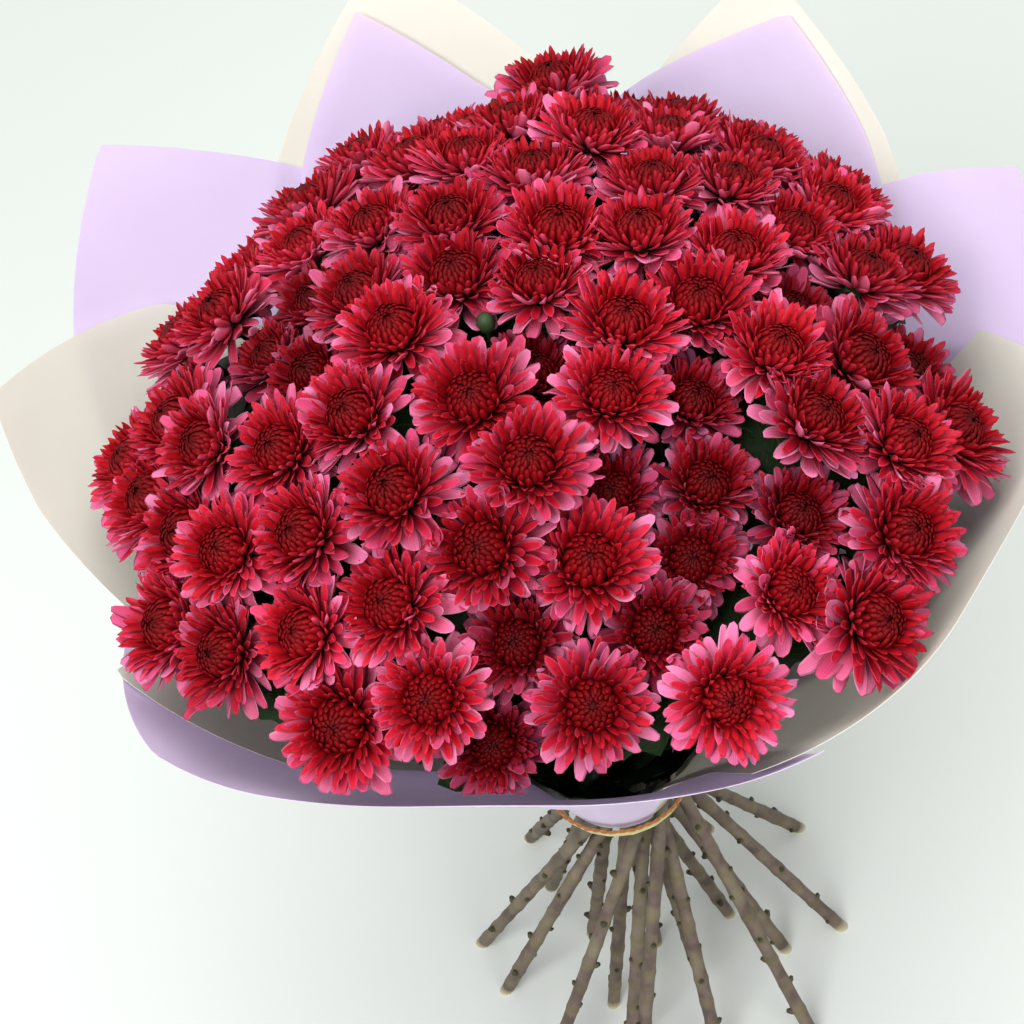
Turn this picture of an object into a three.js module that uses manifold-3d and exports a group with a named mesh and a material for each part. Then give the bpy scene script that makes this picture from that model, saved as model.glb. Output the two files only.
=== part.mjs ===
// Hand-tied bouquet of spray chrysanthemums in wrapping film, standing on the splayed cut ends of its stems.
// Millimetres, +Z up, front towards -Y. z = 0 is the surface that the cut ends stand on.
import * as THREE from 'three'
import Module from 'manifold-3d'

// Bunch
const TIE_Z = 190
const DOME_R = 250
const DOME_RISE = 228
const DOME_Z = 359
const DOME_EDGE = 55
const DOME_WIDE = 0.97
const DOME_DEEP = 0.95
const BULGE_TURN = 216
const BULGE = 0.06
const FLAT_TURN = 262
const FLAT = 0.02
const PROUD_TURN = 82
const PROUD = 17
const HEADS = 87
const SPRAYS = 21
const SEED = 11

// Stems
const STEM_D = 8
const STEM_TOP_D = 5
const RING_PITCH = 8.9
const RING_COUNTS = [1, 5, 7, 8]
const NODE_STEP = 36
const SPLAY = 1.08
const NODE_SWELL = 1.22
const STUB = 2.4
const SHORT_STEMS = [2, 4, 9]
const SHORT_BY = 38
const TOP_BELOW = 92
const STALK_D = 4
const STALK_STEP = 13

// Flower heads
const HEAD_R = 32
const PETALS = 8
const TILT_SHARE = 0.82
const HEAD_GAP = 0.24
const MERGE = 0.12
const LINK_W = 10
const LINK_T = 3.6

// Leaves
const LEAF_L = 62
const LEAF_W = 40
const LEAF_T = 1.6

// Wrapping film
const FILM = 1
const FILM_Z = [184, 245, 312, 400, 470, 545]
const FILM_R = [31.2, 56, 101, 182, 251, 304]
const FILM_TURN = 18
// how far the rim is drawn in to the heads, as a share of its radius, at each step round from +X
const DRAWN_IN = [0.03, 0, 0, 0, 0, 0, 0, 0, 0, 0, 0, 0.02, 0.08, 0.19, 0.21, 0.19, 0.14, 0.14, 0.13, 0.07]

const wasm = await Module()
wasm.setup()
const V = (x, y, z) => new THREE.Vector3(x, y, z)
const UP = V(0, 0, 1)
const rad = THREE.MathUtils.degToRad
const group = new THREE.Group()

// One number from 0 to 1 that depends only on the two counters and the seed.
function draw(i, k) {
  const x = Math.sin(i * 12.9898 + k * 78.233 + SEED) * 43758.5453
  return x - Math.floor(x)
}
const spread = (i, k, a) => (2 * draw(i, k) - 1) * a

class Shape {
  constructor() {
    this.p = []
    this.t = []
  }
  add(v) {
    this.p.push(v.x, v.y, v.z)
    return this.p.length / 3 - 1
  }
  ring(list) {
    return list.map((v) => this.add(v))
  }
  band(a, b) {
    const n = a.length
    for (let i = 0; i < n; i++) {
      const j = (i + 1) % n
      this.t.push(a[i], a[j], b[j])
      this.t.push(a[i], b[j], b[i])
    }
  }
  fan(ring, pole, flip) {
    const n = ring.length
    for (let i = 0; i < n; i++) {
      const j = (i + 1) % n
      if (flip) this.t.push(ring[j], ring[i], pole)
      else this.t.push(ring[i], ring[j], pole)
    }
  }
  solid() {
    const mesh = new wasm.Mesh({
      numProp: 3,
      vertProperties: new Float32Array(this.p),
      triVerts: new Uint32Array(this.t)
    })
    return new wasm.Manifold(mesh)
  }
}

// The largest body of a union, without the scraps and sealed hollows that it may leave
function joined(list) {
  const bodies = wasm.Manifold.union(list).simplify(MERGE).decompose()
  return bodies.reduce((a, b) => (b.volume() > a.volume() ? b : a))
}

function node(name, solid, colour, roughness) {
  const mesh = solid.getMesh()
  const geometry = new THREE.BufferGeometry()
  geometry.setAttribute('position', new THREE.BufferAttribute(new Float32Array(mesh.vertProperties), 3))
  geometry.setIndex(new THREE.BufferAttribute(new Uint32Array(mesh.triVerts), 1))
  const material = new THREE.MeshStandardMaterial({ color: colour, roughness, metalness: 0 })
  const piece = new THREE.Mesh(geometry, material)
  piece.name = name
  group.add(piece)
}

// Two directions square to an axis
function across(axis) {
  const side = Math.abs(axis.z) > 0.97 ? V(1, 0, 0) : UP
  const u = new THREE.Vector3().crossVectors(side, axis).normalize()
  return [u, new THREE.Vector3().crossVectors(axis, u)]
}

// A ring of points round a centre, starting from the side that the guide points to
function circle(centre, axis, r, sides, guide) {
  const u = guide.clone().addScaledVector(axis, -guide.dot(axis)).normalize()
  const v = new THREE.Vector3().crossVectors(axis, u)
  return Array.from({ length: sides }, (_, k) => {
    const a = (2 * Math.PI * k) / sides
    return centre.clone().addScaledVector(u, r * Math.cos(a)).addScaledVector(v, r * Math.sin(a))
  })
}

// The film at one height and step round the bunch. It flares, and it hugs the heads at the front and right.
function filmNode(i, turn, off) {
  const high = THREE.MathUtils.smoothstep(FILM_Z[i], 290, 440)
  const low = i / (FILM_Z.length - 1)
  const wave = 3.2 * high * Math.sin(rad(turn) * 5 + 0.6) + 2 * high * Math.sin(rad(turn) * 11)
  const drawn = DRAWN_IN[Math.round(turn / FILM_TURN) % DRAWN_IN.length]
  const r = FILM_R[i] * (1 - high * drawn) + wave + off * (1 + 2.2 * low)
  return V(r * Math.cos(rad(turn)), r * Math.sin(rad(turn)), FILM_Z[i])
}
function filmPoint(turn, z, layer, outer) {
  let i = 0
  while (i < FILM_Z.length - 2 && z > FILM_Z[i + 1]) i++
  const s = (z - FILM_Z[i]) / (FILM_Z[i + 1] - FILM_Z[i])
  const a = Math.floor(turn / FILM_TURN) * FILM_TURN
  const w = (turn - a) / FILM_TURN
  const at = (k, t) => {
    const base = filmNode(k, t, layer * (FILM + 0.32))
    if (!outer) return base
    const flat = V(base.x, base.y, 0)
    return base.add(flat.setLength(FILM))
  }
  const lowEdge = at(i, a).lerp(at(i, a + FILM_TURN), w)
  const topEdge = at(i + 1, a).lerp(at(i + 1, a + FILM_TURN), w)
  return lowEdge.lerp(topEdge, s)
}

// Flower heads: centres over a low dome by the golden angle
const heads = []
const golden = Math.PI * (3 - Math.sqrt(5))
for (let i = 0; i < HEADS; i++) {
  const tilt = Math.acos(1 - (1 - Math.cos(rad(DOME_EDGE))) * ((i + 0.5) / HEADS))
  const turn = i * golden
  const bulge = BULGE * Math.max(0, Math.cos(turn - rad(BULGE_TURN))) ** 4
  const flat = FLAT * Math.max(0, Math.cos(turn - rad(FLAT_TURN))) ** 4
  const out = V(Math.cos(turn) * DOME_WIDE, Math.sin(turn) * DOME_DEEP, 0).multiplyScalar(1 + bulge - flat)
  const c = V(0, 0, DOME_Z + DOME_RISE * Math.cos(tilt)).addScaledVector(out, DOME_R * Math.sin(tilt))
  c.x += spread(i, 1, 4.5)
  c.y += spread(i, 2, 4.5)
  heads.push({ i, c, tilt, turn: Math.atan2(c.y, c.x) })
}

// One head at the back stands proud of the rest
const proud = heads.filter((h) => h.tilt > rad(DOME_EDGE - 8)).reduce((a, b) => {
  return Math.abs(b.turn - rad(PROUD_TURN)) < Math.abs(a.turn - rad(PROUD_TURN)) ? b : a
})
proud.c.add(V(0, PROUD * 0.6, PROUD))
proud.tilt *= 0.5

// Sprays: each head goes with its nearest spray, and each spray moves to the middle of its heads
const sprays = RING_COUNTS.flatMap((count, ring) => {
  const tilt = rad([0, 20, 35, 47][ring])
  return Array.from({ length: count }, (_, k) => {
    const turn = (2 * Math.PI * (k + ring * 0.37)) / count
    const c = V(DOME_R * Math.sin(tilt) * Math.cos(turn), DOME_R * Math.sin(tilt) * Math.sin(turn), 0)
    c.z = DOME_Z + DOME_RISE * Math.cos(tilt)
    return { c, heads: [] }
  })
})
for (let pass = 0; pass < 30; pass++) {
  const pairs = []
  heads.forEach((h) => {
    sprays.forEach((s) => pairs.push([h.c.distanceTo(s.c), h, s]))
    h.spray = null
  })
  sprays.forEach((s) => (s.heads = []))
  pairs.sort((a, b) => a[0] - b[0])
  for (const [, h, s] of pairs) {
    if (h.spray || s.heads.length >= 5) continue
    h.spray = s
    s.heads.push(h)
  }
  sprays.forEach((s) => {
    s.c = s.heads.reduce((sum, h) => sum.add(h.c), V(0, 0, 0)).divideScalar(s.heads.length)
  })
}
const knot = V(0, 0, TIE_Z)
sprays.forEach((s) => (s.lean = s.c.clone().sub(knot).angleTo(UP)))
sprays.sort((a, b) => a.lean - b.lean)
sprays.forEach((s, n) => {
  s.n = n
  s.lift = spread(n, 3, 6)
})

// Each head's own height, size and lean
heads.forEach((h) => {
  const { i } = h
  const deep = draw(i, 4) < 0.1 ? 15 : 0
  const normal = V(Math.sin(h.tilt) * Math.cos(h.turn), Math.sin(h.tilt) * Math.sin(h.turn), Math.cos(h.tilt))
  h.c.addScaledVector(normal, h.spray.lift + spread(i, 5, 3) - deep)
  const lean = h.tilt * TILT_SHARE
  h.axis = V(Math.sin(lean) * Math.cos(h.turn), Math.sin(lean) * Math.sin(h.turn), Math.cos(lean))
  h.axis.add(V(spread(i, 6, 0.16), spread(i, 7, 0.16), 0)).normalize()
  h.r = HEAD_R * (1 + spread(i, 8, 0.07)) * (deep ? 0.86 : 1)
  h.site = h.c.clone().addScaledVector(h.axis, 3)
})

// Stems: straight lines that pass the tie side by side and turn about it in one sense
let first = 0
RING_COUNTS.forEach((count, ring) => {
  const rho = Math.max(ring * RING_PITCH, 0.001)
  const set = sprays.slice(first, first + count)
  first += count
  set.forEach((s) => {
    const reach = s.c.distanceTo(knot)
    const top = knot.clone().lerp(s.c, (reach - TOP_BELOW) / reach)
    const r = Math.max(Math.hypot(top.x, top.y), rho)
    s.rise = top.z - TIE_Z
    s.run = ring === 0 ? 0 : Math.sqrt(Math.max(r * r - rho * rho, 0)) / s.rise
    s.waist = Math.atan2(top.y, top.x) - Math.atan2(s.run * s.rise, rho)
    s.rho = rho
    s.ring = ring
  })
  set.sort((a, b) => a.waist - b.waist)
  const least = 2 * Math.asin((STEM_D + 0.5) / (2 * rho * 0.8)) || 0
  for (let pass = 0; pass < 400 && count > 1; pass++) {
    for (let k = 0; k < count; k++) {
      const a = set[k]
      const b = set[(k + 1) % count]
      const gap = b.waist - a.waist + (k === count - 1 ? 2 * Math.PI : 0)
      if (gap >= least) continue
      a.waist -= (least - gap) / 2
      b.waist += (least - gap) / 2
    }
  }
})
sprays.forEach((s) => {
  const out = V(Math.cos(s.waist), Math.sin(s.waist), 0)
  const tilt = (k) => V(-Math.sin(s.waist) * s.run * k, Math.cos(s.waist) * s.run * k, 1)
  const along = tilt(1)
  const below = tilt(SPLAY)
  const hub = out.clone().multiplyScalar(s.ring === 0 ? 0 : s.rho).setZ(TIE_Z)
  const at = (z) => hub.clone().addScaledVector(z < TIE_Z ? below : along, z - TIE_Z)
  s.at = at
  s.below = below.clone().normalize()
  s.along = along.clone().normalize()
  s.top = at(TIE_Z + s.rise)
})

// Everything green that a leaf has to stay clear of: straight pieces with a radius, each with its spray
const bones = []
sprays.forEach((s) => {
  s.heads.sort((a, b) => a.c.distanceTo(s.top) - b.c.distanceTo(s.top))
  bones.push({ s, a: s.at(TIE_Z), b: s.top, r: STEM_D / 2 })
  s.heads.forEach((h, k) => {
    h.root = s.top.clone().addScaledVector(s.along, k === 0 ? -6 : -6 - STALK_STEP * k)
    h.neck = h.c.clone().addScaledVector(h.axis, -17)
    bones.push({ s, a: h.root, b: h.neck, r: STALK_D / 2 })
  })
})

// Stem: five sides, swollen at the leaf scars, each scar with a stub that changes sides, cut level at the foot
function stemSolid(s) {
  const shape = new Shape()
  const short = SHORT_STEMS.includes(s.n)
  const foot = short ? SHORT_BY * (0.6 + draw(s.n, 20)) : 0
  const sides = 5
  const stations = [[foot, 1, false]]
  const slope = s.below.z
  let z = foot + NODE_STEP * slope * (0.45 + 0.4 * draw(s.n, 21))
  let k = 0
  while (z < TIE_Z - 22) {
    stations.push([z, NODE_SWELL, z < TIE_Z - 45])
    stations.push([z + NODE_STEP * slope * 0.42, 0.96, false])
    z += NODE_STEP * slope * (0.9 + 0.2 * draw(s.n, 22 + k))
    k++
  }
  stations.push([TIE_Z, 1, false])
  const [guide] = across(s.along)
  let last = null
  stations.forEach(([height, swell, scar], m) => {
    const c = s.at(height)
    const points = circle(c, s.below, (STEM_D / 2) * swell, sides, guide)
    if (scar) {
      const p = points[(m + s.n) % 2 === 0 ? 0 : 2 + (m % 2)]
      p.add(p.clone().sub(c).setLength(STUB)).addScaledVector(s.below, 2)
    }
    if (m === 0) {
      // the cut is level, so the ring is slid along the stem to one height
      points.forEach((p) => p.addScaledVector(s.below, (foot - p.z) / s.below.z))
    }
    const ring = shape.ring(points)
    if (last) shape.band(last, ring)
    else shape.fan(ring, shape.add(c), true)
    last = ring
  })
  const top = shape.ring(circle(s.top, s.along, STEM_TOP_D / 2, sides, guide))
  shape.band(last, top)
  shape.fan(top, shape.add(s.top.clone().addScaledVector(s.along, 1)), false)
  return shape.solid()
}

// Flower stalk with the green cup under its head
function stalkSolid(h) {
  const shape = new Shape()
  const way = h.neck.clone().sub(h.root).normalize()
  const bend = way.clone().add(h.axis).normalize()
  const sides = 3
  const [guide] = across(way)
  const cup = h.c.clone().addScaledVector(h.axis, -9.4)
  const crown = h.c.clone().addScaledVector(h.axis, -7.4 * (h.r / HEAD_R) - 0.3)
  const root = shape.ring(circle(h.root, way, 1.7, sides, guide))
  const neck = shape.ring(circle(h.neck, bend, STALK_D / 2 - 0.2, sides, guide))
  const lip = shape.ring(circle(cup, h.axis, 7, sides, guide))
  shape.fan(root, shape.add(h.root.clone().addScaledVector(way, -1)), true)
  shape.band(root, neck)
  shape.band(neck, lip)
  shape.fan(lip, shape.add(crown), false)
  return shape.solid()
}

// Leaf: lobed outline with a raised midrib, from its root on the stem
const LOBES = [[0.1, 0.05], [0.3, 0.62], [0.4, 0.3], [0.58, 1], [0.66, 0.42], [0.84, 0.6]]
function leafPoints(root, way, flat, size) {
  const side = new THREE.Vector3().crossVectors(way, flat).normalize()
  const lift = new THREE.Vector3().crossVectors(side, way).normalize()
  const put = (x, y, z) => {
    const bow = -14 * size * x * x
    const at = root.clone().addScaledVector(way, x * LEAF_L * size)
    return at.addScaledVector(side, y).addScaledVector(lift, bow + z - Math.abs(y) * 0.18)
  }
  const edge = LOBES.map(([x, y]) => [x, (y * LEAF_W * size) / 2])
  const left = edge.map(([x, y]) => put(x, y, 0))
  const right = edge.map(([x, y]) => put(x, -y, 0))
  const rib = [0, 0.4, 0.66].map((x) => put(x, 0, LEAF_T / 2))
  const keel = [0, 0.5].map((x) => put(x, 0, -LEAF_T / 2))
  return { left, right, rib, keel, tip: put(1, 0, 0) }
}
function leafSolid(leaf) {
  const shape = new Shape()
  const L = shape.ring(leaf.left)
  const R = shape.ring(leaf.right)
  const rib = shape.ring(leaf.rib)
  const keel = shape.ring(leaf.keel)
  const tip = shape.add(leaf.tip)
  const half = (E, flip) => {
    const put = (a, b, c) => (flip ? shape.t.push(a, c, b) : shape.t.push(a, b, c))
    put(rib[0], rib[1], E[0])
    put(E[0], rib[1], E[1])
    put(E[1], rib[1], E[2])
    put(E[2], rib[1], rib[2])
    put(E[2], rib[2], E[3])
    put(E[3], rib[2], E[4])
    put(E[4], rib[2], E[5])
    put(E[5], rib[2], tip)
    put(keel[0], E[0], keel[1])
    put(E[0], E[1], keel[1])
    put(E[1], E[2], keel[1])
    put(E[2], E[3], keel[1])
    put(E[3], E[4], keel[1])
    put(E[4], E[5], keel[1])
    put(E[5], tip, keel[1])
  }
  half(L, true)
  half(R, false)
  // the blunt root end, inside the stem
  shape.t.push(rib[0], keel[0], L[0])
  shape.t.push(rib[0], R[0], keel[0])
  return shape.solid()
}

// How far a point is from a straight piece
const line = new THREE.Line3()
const near = V(0, 0, 0)
function clear(p, bone) {
  line.set(bone.a, bone.b)
  line.closestPointToPoint(p, true, near)
  return near.distanceTo(p) - bone.r
}
function fits(s, points) {
  for (const p of points) {
    let own = Infinity
    let other = Infinity
    for (const bone of bones) {
      const d = clear(p, bone)
      if (bone.s === s) own = Math.min(own, d)
      else other = Math.min(other, d)
    }
    if (other < 2 || own > other - 2) return false
    for (const h of heads) {
      const local = p.clone().sub(h.c)
      const z = local.dot(h.axis)
      const r = Math.sqrt(Math.max(local.lengthSq() - z * z, 0))
      if (r < h.r + 2 && z > -10.5 && z < 20) return false
    }
    const turn = (Math.atan2(p.y, p.x) * 180) / Math.PI + 360
    const wall = filmPoint(turn, Math.min(Math.max(p.z, 185), 540), 0, false)
    if (Math.hypot(p.x, p.y) > Math.hypot(wall.x, wall.y) - 2.5) return false
  }
  return true
}
function leafOf(s) {
  const root = s.top.clone().addScaledVector(s.along, -18)
  const [u, v] = across(s.along)
  for (let pass = 0; pass < 72; pass++) {
    const size = 1.1 - 0.07 * Math.floor(pass / 12)
    const turn = 2 * Math.PI * (draw(s.n, 30) + (pass % 12) / 12)
    const side = u.clone().multiplyScalar(Math.cos(turn)).addScaledVector(v, Math.sin(turn))
    const way = s.along.clone().multiplyScalar(0.8).addScaledVector(side, 0.6).normalize()
    const leaf = leafPoints(root, way, side.clone().cross(way).cross(way).negate(), size)
    if (fits(s, [...leaf.left, ...leaf.right, leaf.tip])) return [leaf]
  }
  return []
}

// Flower head: an outer ring of broad petals, a second ring over its gaps and a closed button, in tiers.
// Each corner is drawn in towards the head's middle where it would pass half way to a head of another spray.
function headSolid(h) {
  const shape = new Shape()
  const [u, v] = across(h.axis)
  const n = PETALS
  const phase = draw(h.i, 9) * Math.PI
  const k = h.r / 29
  const put = (turn, r, z) => {
    const a = phase + (turn * 2 * Math.PI) / n
    const p = h.c.clone().addScaledVector(h.axis, z * k)
    p.addScaledVector(u, r * k * Math.cos(a)).addScaledVector(v, r * k * Math.sin(a))
    const ray = p.clone().sub(h.site)
    let s = 1
    for (const o of heads) {
      if (o === h) continue
      const way = o.site.clone().sub(h.site)
      const d = way.length()
      if (d > 75) continue
      way.divideScalar(d)
      const reach = d / 2 - HEAD_GAP
      const go = ray.dot(way)
      if (go > reach) s = Math.min(s, reach / go)
    }
    for (let pass = 0; pass < 12; pass++) {
      const q = h.site.clone().addScaledVector(ray, s)
      const turnOf = (Math.atan2(q.y, q.x) * 180) / Math.PI + 360
      const wall = filmPoint(turnOf, Math.min(q.z, 540), 0, false)
      if (Math.hypot(q.x, q.y) < Math.hypot(wall.x, wall.y) - 1.5) break
      s *= 0.94
    }
    return shape.add(h.site.clone().addScaledVector(ray, s))
  }
  const list = (count, f) => Array.from({ length: count }, (_, m) => f(m))
  const wob = (m, c, a) => 1 + spread(h.i * 31 + m, c, a)
  const base = put(0, 0, -7)
  const tip1 = list(n, (m) => put(m, 29 * wob(m, 10, 0.06), 1.5 + spread(h.i * 17 + m, 11, 1.8)))
  const dip1 = list(n, (m) => put(m + 0.5, 22.6, 0.2))
  const ridge1 = list(n, (m) => put(m, 17.2, 4.6))
  const tier2 = list(n, (m) => (m % 2 ? put(m, 17.6, 6.8) : put(m, 23.6 * wob(m, 12, 0.05), 10.4)))
  const crown = list(n / 2, (m) => put(2 * m + 1, 9.8, 16.4))
  const mid = put(0, 0, 13.6)
  for (let m = 0; m < n; m++) {
    const q = (m + 1) % n
    shape.t.push(base, dip1[m], tip1[m])
    shape.t.push(base, tip1[q], dip1[m])
    shape.t.push(tip1[m], dip1[m], ridge1[m])
    shape.t.push(dip1[m], ridge1[q], ridge1[m])
    shape.t.push(dip1[m], tip1[q], ridge1[q])
    shape.t.push(ridge1[m], ridge1[q], tier2[q])
    shape.t.push(ridge1[m], tier2[q], tier2[m])
    const c = Math.floor(m / 2)
    shape.t.push(tier2[m], tier2[q], crown[c])
    if (m % 2) shape.t.push(tier2[q], crown[(c + 1) % (n / 2)], crown[c])
    if (m % 2) shape.t.push(crown[c], crown[(c + 1) % (n / 2)], mid)
  }
  return shape.solid()
}

// A broad petal shared by two heads of one spray, where they lie against each other
function linkSolid(a, b) {
  const shape = new Shape()
  const way = b.site.clone().sub(a.site).normalize()
  const upward = a.axis.clone().add(b.axis).normalize()
  const side = new THREE.Vector3().crossVectors(way, upward).normalize()
  const lift = new THREE.Vector3().crossVectors(side, way).normalize()
  const corner = (c, x, z) => c.clone().addScaledVector(side, x * LINK_W * 0.5).addScaledVector(lift, z * LINK_T)
  const from = a.site.clone().addScaledVector(a.axis, -1.5)
  const to = b.site.clone().addScaledVector(b.axis, -1.5)
  const three = (c) => shape.ring([corner(c, -1, 0), corner(c, 0, 1), corner(c, 1, 0)])
  const A = three(from)
  const B = three(to)
  shape.band(A, B)
  shape.t.push(A[0], A[2], A[1])
  shape.t.push(B[0], B[1], B[2])
  return shape.solid()
}

const label = (n) => String(n + 1).padStart(2, '0')
sprays.forEach((s) => {
  const green = [stemSolid(s), ...s.heads.map(stalkSolid), ...leafOf(s).map(leafSolid)]
  node(`spray_${label(s.n)}_stem`, joined(green), s.n % 2 ? '#7d7c58' : '#77794f', 0.7)

  // the shortest set of links that joins the heads of the spray
  const held = [s.heads[0]]
  const links = []
  while (held.length < s.heads.length) {
    let best = null
    for (const a of held) {
      for (const b of s.heads) {
        if (held.includes(b)) continue
        const half = a.site.distanceTo(b.site) / 2
        const centre = a.site.clone().lerp(b.site, 0.5)
        const barred = heads.some((o) => o.spray !== s && o.site.distanceTo(centre) < half + 4)
        const d = half + (barred ? 100 : 0)
        if (!best || d < best[0]) best = [d, a, b]
      }
    }
    held.push(best[2])
    links.push(linkSolid(best[1], best[2]))
  }
  const red = joined([...s.heads.map(headSolid), ...links])
  node(`spray_${label(s.n)}_heads`, red, s.n % 2 ? '#b3162c' : '#a81328', 0.6)
})

// Sheets of film. Each runs from under the tie to a top edge given by turns and heights round the bunch.
function sheet(name, layer, colour, edge) {
  const turns = new Set(edge.map((e) => e[0]))
  for (let a = 0; a <= 720; a += FILM_TURN) {
    if (a > edge[0][0] && a < edge[edge.length - 1][0]) turns.add(a)
  }
  const columns = [...turns].sort((a, b) => a - b).map((turn) => {
    let k = 0
    while (k < edge.length - 2 && turn > edge[k + 1][0]) k++
    const w = (turn - edge[k][0]) / (edge[k + 1][0] - edge[k][0])
    const top = edge[k][1] + (edge[k + 1][1] - edge[k][1]) * w
    return [turn, [...FILM_Z.filter((z) => z < top - 1), top]]
  })
  const shape = new Shape()
  const grid = [false, true].map((outer) =>
    columns.map(([turn, levels]) => levels.map((z) => shape.add(filmPoint(turn, z, layer, outer))))
  )
  const put = (a, b, c, flip) => (flip ? shape.t.push(a, c, b) : shape.t.push(a, b, c))
  grid.forEach((side, outer) => {
    for (let c = 0; c + 1 < side.length; c++) {
      const A = side[c]
      const B = side[c + 1]
      let i = 0
      let j = 0
      while (i + 1 < A.length || j + 1 < B.length) {
        if (i + 1 < A.length && (i <= j || j + 1 >= B.length)) {
          put(A[i], B[j], A[i + 1], !outer)
          i++
        } else {
          put(A[i], B[j], B[j + 1], !outer)
          j++
        }
      }
    }
  })
  const rim = [
    ...grid[0].map((c) => c[0]),
    ...grid[0].at(-1).slice(1),
    ...grid[0].slice(0, -1).reverse().map((c) => c.at(-1)),
    ...grid[0][0].slice(1, -1).reverse()
  ]
  const rimOut = [
    ...grid[1].map((c) => c[0]),
    ...grid[1].at(-1).slice(1),
    ...grid[1].slice(0, -1).reverse().map((c) => c.at(-1)),
    ...grid[1][0].slice(1, -1).reverse()
  ]
  shape.band(rim, rimOut)
  node(name, shape.solid(), colour, 0.55)
}
const LILAC = '#dccdec'
const CREAM = '#e4e1d8'
sheet('film_cream_left', 0, CREAM, [[122, 410], [136, 462], [160, 502], [184, 430]])
sheet('film_cream_flap', 0, CREAM, [[186, 425], [194, 455], [216, 415]])
sheet('film_cream_front', 0, CREAM, [[284, 470], [304, 481], [328, 484], [350, 482], [368, 446]])
sheet('film_lilac_back_left', 1, LILAC, [[74, 430], [88, 480], [98, 520], [122, 420]])
sheet('film_lilac_right', 1, LILAC, [[345, 425], [378, 496], [404, 430]])
sheet('film_lilac_front', 1, LILAC, [[176, 425], [208, 460], [226, 470], [252, 481], [292, 476]])
sheet('film_lilac_left', 2, LILAC, [[102, 440], [129, 524], [166, 420]])
sheet('film_lilac_back_right', 2, LILAC, [[24, 425], [51, 508], [82, 435]])
sheet('film_lilac_low_right', 2, LILAC, [[318, 440], [349, 478], [372, 425]])
sheet('film_cream_back_left', 3, CREAM, [[71, 440], [94, 536], [120, 445]])
sheet('film_cream_back_right', 3, CREAM, [[26, 440], [55, 524], [69, 455]])

// Tie: turns of raffia round the film, with a thin cord above them
function windings(name, profile, colour) {
  const shape = new Shape()
  const outer = 3
  const rings = Array.from({ length: 360 / FILM_TURN }, (_, k) => {
    const turn = k * FILM_TURN
    return profile.map(([r, z]) => {
      const wall = filmPoint(turn, z, outer, true)
      const size = Math.hypot(wall.x, wall.y) + r
      return shape.add(V(size * Math.cos(rad(turn)), size * Math.sin(rad(turn)), z))
    })
  })
  rings.forEach((ring, k) => shape.band(rings[(k + 1) % rings.length], ring))
  node(name, shape.solid(), colour, 0.8)
}
windings('tie_raffia', [[0.3, TIE_Z - 5.6], [2.6, TIE_Z - 4.4], [2.6, TIE_Z + 0.4], [0.3, TIE_Z + 1.6]], '#c9c58c')
windings('tie_cord', [[0.3, TIE_Z + 2.2], [2.4, TIE_Z + 3.4], [0.3, TIE_Z + 4.6]], '#b5713c')

// The origin is the middle of the part's box, on the surface that it stands on
const box = new THREE.Box3().setFromObject(group)
const middle = box.getCenter(V(0, 0, 0))
group.children.forEach((piece) => piece.geometry.translate(-middle.x, -middle.y, 0))

export default group
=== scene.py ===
# %% [markdown]
# # A wrapped bouquet of spray chrysanthemums
# A florist ties cut sprays of chrysanthemum in a spiral, wraps them in film and stands the bunch on its own splayed
# stems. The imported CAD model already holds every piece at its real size: stems, flower heads as faceted domes, sheets
# of film and the tie. This script keeps that frame and dresses each piece with a finer mesh in the same place.

# %% Load the frame
import math
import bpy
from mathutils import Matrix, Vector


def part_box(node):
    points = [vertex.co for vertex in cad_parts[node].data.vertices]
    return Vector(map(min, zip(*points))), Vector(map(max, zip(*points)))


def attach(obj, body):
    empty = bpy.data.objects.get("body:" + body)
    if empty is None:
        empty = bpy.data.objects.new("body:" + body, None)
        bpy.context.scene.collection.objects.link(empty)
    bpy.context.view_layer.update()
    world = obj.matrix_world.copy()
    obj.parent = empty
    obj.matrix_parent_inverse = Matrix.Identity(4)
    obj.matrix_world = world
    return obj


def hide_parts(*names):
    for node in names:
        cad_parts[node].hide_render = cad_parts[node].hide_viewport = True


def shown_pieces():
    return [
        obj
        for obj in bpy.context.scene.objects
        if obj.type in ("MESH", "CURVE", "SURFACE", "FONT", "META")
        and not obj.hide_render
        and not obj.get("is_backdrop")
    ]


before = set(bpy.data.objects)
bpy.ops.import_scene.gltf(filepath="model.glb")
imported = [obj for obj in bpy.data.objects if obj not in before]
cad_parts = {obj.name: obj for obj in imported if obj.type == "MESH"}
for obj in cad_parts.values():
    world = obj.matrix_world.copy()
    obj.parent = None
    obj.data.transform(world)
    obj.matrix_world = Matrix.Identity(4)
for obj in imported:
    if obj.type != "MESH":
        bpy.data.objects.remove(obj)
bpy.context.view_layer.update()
from types import SimpleNamespace

import bmesh
import bpy
import numpy as np
from mathutils import Matrix, Vector

# %% [markdown]
# ## Millimetres round the bunch's own axis
# The stems all pass the tie, so the tie's middle is the axis of the bunch. The sizes below are in millimetres from
# that axis, as a florist would measure them, and one matrix takes each finished mesh into the model's metres.

# %% The bunch's axis
tie_low, tie_high = (Vector(corner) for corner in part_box("tie_raffia"))
AXIS = (tie_low + tie_high) / 2
AXIS.z = 0
TO_MODEL = Matrix.Translation(AXIS) @ Matrix.Diagonal((0.001, 0.001, 0.001, 1))
UP = Vector((0, 0, 1))
print("axis of the bunch, mm:", [round(1000 * c, 1) for c in AXIS])

# %% [markdown]
# ## The camera
# The photograph was taken from in front and well above, with the phone turned a little, so the bunch leans in the
# frame. A long lens keeps the flowers at the back as large as they look there.

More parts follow.
